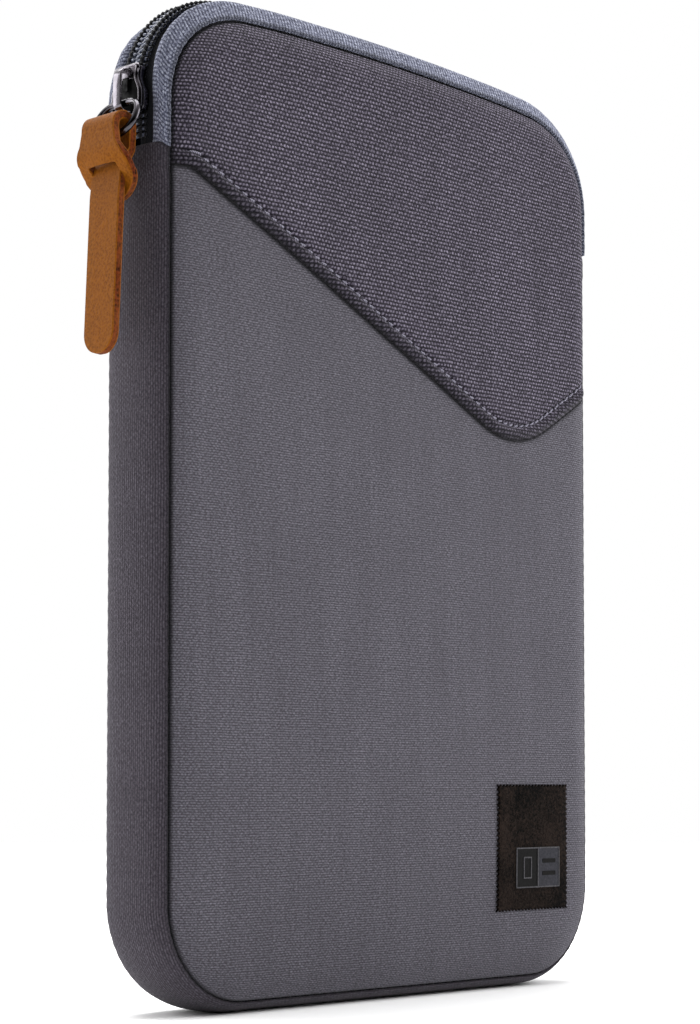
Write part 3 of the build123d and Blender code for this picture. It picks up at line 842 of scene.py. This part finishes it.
def seam_stitches(name, side):
    """Short dark stitches down in the groove beside each panel."""
    paths = []
    t = np.linspace(-1, 1, 5)
    for k in range(int(LENGTH / STITCH)):
        s = (k + 0.5) * STITCH + 0.95 * t
        y = side * (8.9 + 0.25 * (1 - t ** 2))
        path = beside_outline(s, y, SEAM_D - 0.15)
        path[:, 2] -= dropped(s, y[:, None])[:, 0]
        paths.append(path)
    return tubes(name, paths, [0.2] * len(paths), 6, SEAM_THREAD)


def topstitch():
    """Pale thread along the yoke's fold, each stitch slanted a little and sunk at its ends."""
    run, way = run_of(YOKE_EDGE), directions(YOKE_EDGE)
    lane = YOKE_EDGE + np.stack([-way[:, 1], way[:, 0]], -1) * 3.6
    pitch, length = 2.6, 2.0
    rng = np.random.default_rng(4)
    paths, radii = [], []
    t = np.linspace(-1, 1, 7)
    for k in range(int(run[-1] / pitch)):
        jitter = rng.uniform(-0.12, 0.12, 3)
        at = (k + 0.5) * pitch + jitter[0] + t * length / 2
        x, z = np.interp(at, run, lane[:, 0]), np.interp(at, run, lane[:, 1])
        slant = (0.20 + jitter[1]) * t
        x, z = x + slant * 0.4, z + slant
        if inset_of(x, z).min() < SEAM_D + 0.8:
            continue
        rise = 0.3 - 0.42 * t ** 4
        y = -(face_out(x, z) + yoke_lift(above_yoke(x, z)) + rise)
        paths.append(np.stack([x, y, z], -1))
        radii.append(0.3 * (1 - 0.35 * t ** 4))
    return tubes("topstitch", paths, radii, 8, THREAD)


# Label

def on_face(x, z, lift):
    """Point on the front cover, raised by lift."""
    return np.stack([x, -(face_out(x, z) + lift), z], -1)


def label_patch():
    """Felt patch with zigzag edges, thicker than its edge in the middle."""
    wide, high, tooth = 44, 50, 0.95
    i, j = np.meshgrid(np.arange(wide + 1), np.arange(high + 1), indexing="ij")
    x = 35.0 + i * 29.2 / wide + tooth * (j % 2) * (1 * (i == 0) - (i == wide))
    z = 19.8 + j * 32.4 / high + tooth * (i % 2) * (1 * (j == 0) - (j == high))
    rim = np.minimum(np.minimum(i, wide - i), np.minimum(j, high - j))
    lift = 0.55 + 0.12 * ramp(rim, 0, 3) + 0.04 * smooth_noise(x, z, 5, 21)
    verts = np.vstack([on_face(x, z, up).reshape(-1, 3) for up in (lift, -0.3)])
    ids = np.arange(x.size).reshape(x.shape)
    around = np.r_[ids[0], ids[1:, -1], ids[-1, -2::-1], ids[-2:0:-1, 0]].tolist()
    faces = grid_faces(*x.shape)
    faces += [(b, a, a + x.size, b + x.size) for a, b in zip(around, around[1:] + around[:1])]
    obj = object_of("felt_patch", verts, faces, FELT)
    obj.data.polygons.foreach_set("use_smooth", [k < wide * high for k in range(len(faces))])
    return obj


def plate(name, box, lift, height, material, corner):
    """Thin raised rectangle with rounded corners on the label, in step with its surface."""
    x0, x1, z0, z1 = box
    ring = []
    for cx, cz, start in ((x1 - corner, z1 - corner, 0), (x0 + corner, z1 - corner, 90),
            (x0 + corner, z0 + corner, 180), (x1 - corner, z0 + corner, 270)):
        a = np.radians(start + np.linspace(0, 90, 5))
        ring.append(np.stack([cx + corner * np.cos(a), cz + corner * np.sin(a)], -1))
    ring = np.vstack(ring)
    middle = np.array([(x0 + x1) / 2, (z0 + z1) / 2])
    small = middle + (ring - middle) * (1 - 0.24 / max(x1 - x0, z1 - z0))
    verts = np.vstack([on_face(*line.T, lift + up) for line, up in
        ((ring, 0), (ring, height * 0.7), (small, height))])
    k = len(ring)
    faces = grid_faces(3, k, close_m=True) + [tuple(range(2 * k, 3 * k))]
    obj = object_of(name, verts, faces, material)
    obj.data.polygons[len(faces) - 1].use_smooth = False
    return obj


def frame_bars(x0, x1, z0, z1, w):
    """Four bars of width w inside the edges of a rectangle."""
    return [(x0, x1, z0, z0 + w), (x0, x1, z1 - w, z1), (x0, x0 + w, z0, z1), (x1 - w, x1, z0, z1)]


def badge():
    """Plain badge: dark half with a tablet's outline, grey half with two blank bars, frame; each
    with the node that it replaces, if any."""
    x0, x1, z0, z1 = 42.2, 60.2, 25.6, 36.0
    split, lift, w = x0 + 9.0, 0.66, 0.34
    pieces = [
        (plate("badge_left", (x0, split, z0, z1), lift, 0.14, BADGE_DARK, 0.2), "label_badge"),
        (plate("badge_right", (split, x1, z0, z1), lift, 0.16, BADGE_GREY, 0.2),)]
    lines = frame_bars(x0, x1, z0, z1, w) + [(split - w / 2, split + w / 2, z0, z1)]
    lines += frame_bars(x0 + 3.0, split - 2.7, z0 + 2.4, z1 - 2.4, w)
    for k, box in enumerate(lines):
        pieces.append((plate(f"badge_line_{k + 1}", box, lift + 0.12, 0.16, BADGE_LINE, 0.1),))
    for k, top in enumerate((z1 - 3.0, z0 + 4.2)):
        box = (split + 1.8, split + 7.4, top - 1.1, top)
        pieces.append((plate(f"badge_bar_{k + 1}", box, lift + 0.14, 0.1, BADGE_DARK, 0.3),))
    return pieces


# Slider, ring and pull

OUTWARD = np.array([-1.0, 0, 0])
SLIDER_AT = np.array([-HALF_W, 0, TOP_Z])


def slider_space(u, v, w):
    """Points from the slider's own directions: along the zip, outward, across."""
    return SLIDER_AT + np.stack(np.broadcast_arrays(-v, w, u), -1)


def bevelled(obj, width, segments=3):
    """Rounded edges."""
    assign(obj.modifiers.new("edges", "BEVEL"), width=width * MM, segments=segments,
           limit_method="ANGLE", angle_limit=0.6, harden_normals=False)
    return obj


def slider_plan(grow=0.0):
    """Plan of the slider's wing as a smooth closed line of (u, w)."""
    u = np.array([-5.2, -4.9, -4.2, -3.0, -1.2, 0.4, 1.6, 2.6, 3.6, 4.6, 5.4, 5.9, 6.0])
    w = np.array([1.6, 3.5, 4.5, 4.85, 4.95, 4.85, 4.4, 3.9, 3.65, 3.85, 4.2, 4.1, 3.2]) + grow
    return np.vstack([np.stack([u, w], -1), np.stack([u, -w], -1)[::-1]])


def prism(name, plan, low, high, bevel=0.3, segments=3, material=GUNMETAL):
    """Flat prism of a plan in the slider's directions, with rounded edges."""
    plan = np.asarray(plan, float)
    k = len(plan)
    verts = np.vstack([slider_space(plan[:, 0], v, plan[:, 1]) for v in (low, high)])
    faces = grid_faces(2, k, close_m=True, flip=True)
    faces += [tuple(range(k)), tuple(range(2 * k - 1, k - 1, -1))]
    return bevelled(object_of(name, verts, faces, material), bevel, segments)


def closed_tube(name, path, radius, across, material):
    """Round wire along a closed path that lies square to the direction across."""
    way = np.roll(path, -1, 0) - np.roll(path, 1, 0)
    way /= np.linalg.norm(way, axis=1)[:, None]
    side = np.cross(way, across)[:, None]
    t = np.linspace(0, 2 * math.pi, 17)[:-1, None]
    points = path[:, None] + radius * (side * np.cos(t) + across * np.sin(t))
    faces = grid_faces(*points.shape[:2], close_n=True, close_m=True)
    return object_of(name, points.reshape(-1, 3), faces, material)


def slider_bridge():
    """Arched strap over the wing, wider at its feet, which holds the ring."""
    path = np.array([(5.35, 1.9), (5.3, 2.5), (5.2, 3.2), (4.95, 3.9), (4.4, 4.35), (3.5, 4.55),
        (1.8, 4.62), (0, 4.65), (-1.5, 4.62), (-2.9, 4.55), (-3.6, 4.35),
        (-4.05, 3.9), (-4.25, 3.2), (-4.3, 2.5), (-4.35, 1.9)])
    way = directions(path)
    out = np.stack([way[:, 1], -way[:, 0]], -1)
    wide = np.interp(path[:, 1], [1.9, 2.8, 4.2, 4.6], [1.9, 1.4, 1.3, 1.3])
    points = np.stack([slider_space(*(path + 0.3 * b * out).T, wide * a)
        for a, b in ((-1, -1), (1, -1), (1, 1), (-1, 1))], 1)
    n, m = points.shape[:2]
    faces = grid_faces(n, m, close_m=True)
    faces += [(3, 2, 1, 0), tuple(range((n - 1) * m, n * m))]
    return bevelled(object_of("slider_arch", points.reshape(-1, 3), faces, GUNMETAL), 0.2)


def slider_pieces():
    """Wing, and the other pieces: its raised rim and tail, sole, neck and flanges."""
    # The wing in near-black steel is painted shade in the middle of the slider.
    wing = prism("slider_wing", slider_plan(), 0.95, 1.8, 0.2, material=SPRING_STEEL_AND_SHADE)
    tail = prism("slider_tail", [(6.0, 3.2), (5.4, 4.1), (4.6, 3.75), (3.7, 3.5), (3.2, 3.2),
        (3.0, -3.2), (3.7, -3.5), (4.6, -3.75), (5.4, -4.1),
        (6.0, -3.2)], 1.5, 2.2)
    plan = slider_plan(-0.5)
    plan = np.vstack([plan, plan[:1]])
    u, w = at_run(plan, np.linspace(0, run_of(plan)[-1], 121)[:-1]).T
    rim = closed_tube("slider_rim", slider_space(u, 1.72, w), 0.6, OUTWARD, GUNMETAL)
    sole = prism("slider_sole", slider_plan(), -3.5, -2.4)
    flanges = []
    for side, letter in ((-1, "f"), (1, "r")):
        outer = slider_plan()[2:12]
        plan = np.vstack([outer, (outer - [0, 0.85])[::-1]]) * [1, side]
        flanges.append(prism(f"slider_flange_{letter}", plan[::side], -0.5, 1.2, 0.12, 2))
    neck = [(-4.7, 0.65), (-2.9, 0.35), (-2.9, -0.35), (-4.7, -0.65)]
    return wing, [rim, tail, sole, prism("slider_neck", neck, -2.5, 1.0, 0.15, 2)] + flanges


def pull_ring():
    """Oval ring of round wire through the bridge and the leather."""
    tilt = math.radians(24.0)
    down = np.array([-math.sin(tilt), 0, -math.cos(tilt)])
    half_w, half_h, corner = 6.75, 4.5, 4.2
    middle = slider_space(-2.55, 3.25, 0.0) + down * half_h
    a = np.linspace(0, 2 * math.pi, 97)[:-1]
    y, h = ((half - corner) * np.sign(v) * (np.abs(v) > 1e-9) + corner * v
            for half, v in ((half_w, np.cos(a)), (half_h, np.sin(a))))
    path = middle + y[:, None] * ACROSS + h[:, None] * down
    return closed_tube("ring", path, 0.82, np.cross(down, ACROSS), GUNMETAL_RING_IN_SHADE)


def strap_path():
    """Middle line of the strap and the distance along it: up behind the lobe, over the ring, down
    through the slit."""
    x, z = WIRE_X, WIRE_Z
    into, out, crown = x + 2.6, x - 2.6, z + 4.0
    path = rounded_path(
        [(x + 2.9, z - 17.0), (x + 1.5, z - 10.4), (out - 0.3, z - 4.0), (out, crown),
         (into, crown), (into, z - 3.2), (x + 0.3, z - 7.0), (x - 0.6, z - 13.5),
         (x - 2.3, z - 49.5)],
        [6.0, 4.0, 2.55, 2.55, 3.0, 5.0, 12.0], 12)
    run = even(0, run_of(path)[-1], 0.42)
    return at_run(path, run), run


def leather_pull():
    """One strip: round lobe, slit head, loop over the ring, tail drawn through the slit."""
    path, run = strap_path()
    lobe_r, tail_half, slit_half, cut_half = 8.1, 4.9, 4.3, 0.85
    top = run[np.argmax(path[:, 1])]
    crossing = np.hypot(path[:, 0] - (WIRE_X - 0.3), path[:, 1] - (WIRE_Z - 7.0))
    slit = run[np.argmin(crossing + 50 * (run > top))]
    kept = run > slit - lobe_r
    path, run = path[kept], run[kept]
    end = run[-1]

    lobe = np.sqrt(np.clip(lobe_r ** 2 - (run - slit) ** 2, 1.0, None))
    head = np.interp(run, [slit + 4, slit + 8.5], [6.3, 5.4])
    half = np.where(run < slit, lobe, np.maximum(np.where(run < slit + 7, lobe, 0), head))
    half = np.where(run > top, np.interp(run, [top, top + 7], [5.3, tail_half]), half)
    past_tip = np.clip(run - (end - tail_half), 0, None)
    tip = np.sqrt(np.clip(tail_half ** 2 - past_tip ** 2, 0.25, None))
    half = np.where(past_tip > 0, tip, half)

    edge = np.r_[0.8, 0.9, 0.965, 1]
    y = np.r_[-edge[::-1], np.linspace(-0.72, 0.72, 13), edge] * half[:, None]
    for i in np.flatnonzero(np.abs(run - slit) < 2.0):
        beside = np.linspace(slit_half + 0.4, half[i], 4)
        y[i] = np.r_[-beside[::-1], np.linspace(-slit_half, slit_half, 13), beside]

    points = np.stack([path[:, :1] + 0 * y, y, path[:, 1:] + 0 * y], -1)
    lip = np.where((run > slit) & (run < slit + 9), hump(run, slit + 0.9, 1.8), 0)
    points[..., 0] -= 0.6 * lip[:, None] * np.clip(1 - (y / 6.0) ** 2, 0, 1)
    n, m = y.shape
    cut = np.abs(run - slit) < cut_half
    faces = [(i * m + j, (i + 1) * m + j, (i + 1) * m + j + 1, i * m + j + 1)
        for i in range(n - 1) for j in range(m - 1)
        if not (cut[i] and cut[i + 1] and 4 <= j < 16)]
    uv = np.stack(np.broadcast_arrays(run[:, None], y), -1)
    obj = object_of("leather_strap", points.reshape(-1, 3), faces, [LEATHER, RAW_EDGE],
        uv.reshape(-1, 2))
    assign(obj.modifiers.new("thickness", "SOLIDIFY"), thickness=2.0 * MM, offset=0.0,
           material_offset_rim=1)
    assign(obj.modifiers.new("soft", "SUBSURF"), levels=2, render_levels=2)
    return obj


# Putting it together


def named(obj, nodes):
    """Hides the CAD nodes that a piece stands for."""
    if nodes:
        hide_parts(*nodes)
    return obj


def fixed(obj, slot, *nodes, body="case"):
    """Piece that moves with one body."""
    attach(obj, body)
    return named(obj, nodes)


def bending(obj, slot, *nodes):
    """Piece that spans the line where the mouth folds forward, with its transform baked into its
    mesh; no bend is set up for it.
    """
    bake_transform(obj)
    return named(obj, nodes)


for put, piece, fill, slot, *nodes in (
        (fixed, front_cover(), 0.95, "main_cloth", "front_main_panel"),
        (bending, yoke_cover(), 0.95, "yoke_canvas", "front_yoke", "flap_yoke"),
        (fixed, rear_cover(), 0.95, "main_cloth", "rear_panel"),
        (fixed, gusset_cover(), 0.9, "main_cloth", "side_gusset"),
        (bending, band("front_band", -1), 0.8, "zip_band_cloth", "front_zip_band"),
        (fixed, band("rear_band", 1), 0.8, "zip_band_cloth", "rear_zip_band"),
        (bending, pad("front_pad", -1), 0.95, "lining", "front_foam", "flap_foam",
         "front_lining", "flap_lining"),
        (fixed, pad("rear_pad", 1), 0.95, "lining", "rear_foam", "rear_lining"),
        (fixed, gusset_pad(), 0.9, "lining", "gusset_foam", "gusset_lining")):
    put(piece, slot, *nodes)
bending(binding("front_binding", -1), "binding", "front_seam_binding", "flap_seam_binding")
fixed(binding("rear_binding", 1), "binding", "rear_seam_binding")
for make, kind, slot, node in ((tape, "tape", "zip_tape", "zip_tape"),
        (coil, "coil", "zip_coil", "zip_coil"),
        (coil_stitches, "coil_stitches", "thread", None),
        (seam_stitches, "seam_stitches", "thread", None)):
    for put, half, side in ((bending, "front", -1), (fixed, "rear", 1)):
        put(make(f"{half}_{kind}", side), slot, *([f"{half}_{node}"] if node else []))
bending(topstitch(), "thread", "yoke_topstitch")
fixed(label_patch(), "label_felt", "label_patch")
for piece, *replaced in badge():
    fixed(piece, "badge", *replaced)

wing, others = slider_pieces()
fixed(wing, "gunmetal", "slider_body", body="slider")
for piece in others:
    fixed(piece, "gunmetal", body="slider")
fixed(slider_bridge(), "gunmetal", "slider_bridge", body="slider")
fixed(pull_ring(), "gunmetal", "pull_ring", body="ring")
fixed(leather_pull(), "tan_leather", "leather_pull", body="pull")
for name in ("zip_top_stops", "zip_bottom_stop", "slider_lock_spring"):
    for slot in NODES[name].material_slots:
        slot.material = SPRING_STEEL_AND_SHADE


# Stage, lights and camera

def matte(name, colour):
    """Pale stage paint with a trace of unevenness."""
    n = Nodes(name)
    cloud = n.noise(n.space(1), 2.0, 2.0)
    shade = n.mix(n.levels(cloud, 0.3, 0.7), colour, brighter(colour, 0.985))
    return n.finish(Base_Color=shade, Roughness=0.9, Specular_IOR_Level=0.1)


def stage():
    """Wide round floor."""
    radius = np.r_[0.02, 0.3, 0.6, 1.0, 1.6][:, None] / MM
    a = np.linspace(0, 2 * math.pi, 65)[:-1]
    points = np.stack([radius * np.cos(a), radius * np.sin(a), 0 * radius * a], -1)
    n, m = points.shape[:2]
    faces = grid_faces(n, m, close_m=True, flip=True) + [tuple(range(m))]
    white = matte("stage_white", (0.97, 0.97, 0.97, 1))
    object_of("floor", points.reshape(-1, 3), faces, white)


def area_light(name, place, aim, size, power):
    """Soft rectangular light that faces aim."""
    data = bpy.data.lights.new(name, "AREA")
    assign(data, shape="RECTANGLE", size=size[0], size_y=size[1], energy=power)
    assign(linked(name, data), location=place, rotation_mode="QUATERNION",
           rotation_quaternion=(Vector(aim) - Vector(place)).to_track_quat("-Z", "Y"))


def camera():
    """Camera to the left of the front, low down and level with the lower case."""
    data = bpy.data.cameras.new("camera")
    assign(data, sensor_fit="VERTICAL", sensor_height=36.0, sensor_width=36.0,
           lens=82.30078125, shift_y=0.15, clip_start=0.01)
    obj = linked("camera", data)
    assign(obj, location=(-0.4264, -0.3933, 0.05175),
           rotation_euler=(math.radians(92.95), 0, math.radians(-46.91)))
    bpy.context.scene.camera = obj


def studio():
    """White surroundings for the eye; for the light, dimmer from the front and the left."""
    n = Nodes("studio", bpy.data.worlds, "Background")
    facing = n.add("ShaderNodeVectorMath", i0=n.coords("Generated"), i1=(-0.72, -0.65, -0.25))
    facing.operation = "DOT_PRODUCT"
    light = n.add("ShaderNodeMapRange", Value=facing.outputs["Value"], From_Min=-0.2,
        From_Max=0.7, To_Min=1.35, To_Max=0.0)
    light.interpolation_type = "SMOOTHSTEP"
    seen = n.tree.nodes.new("ShaderNodeLightPath").outputs["Is Camera Ray"]
    strength = n.add("ShaderNodeMix", i0=seen, i2=light.outputs[0], i3=1.0).outputs[0]
    bpy.context.scene.world = n.finish(Color=(1, 1, 1, 1), Strength=strength)


stage()
studio()
area_light("right", (0.5, -0.52, 0.44), (0.02, 0, 0.17), (0.45, 0.5), 3.6)
area_light("above", (0.1, 0.25, 1.1), (0, 0, 0.2), (0.9, 0.9), 15)
area_light("left", (-0.6, 1.0, 0.5), (0, 0, 0.12), (0.6, 0.9), 8)
camera()
bpy.context.scene.view_settings.view_transform = "Standard"
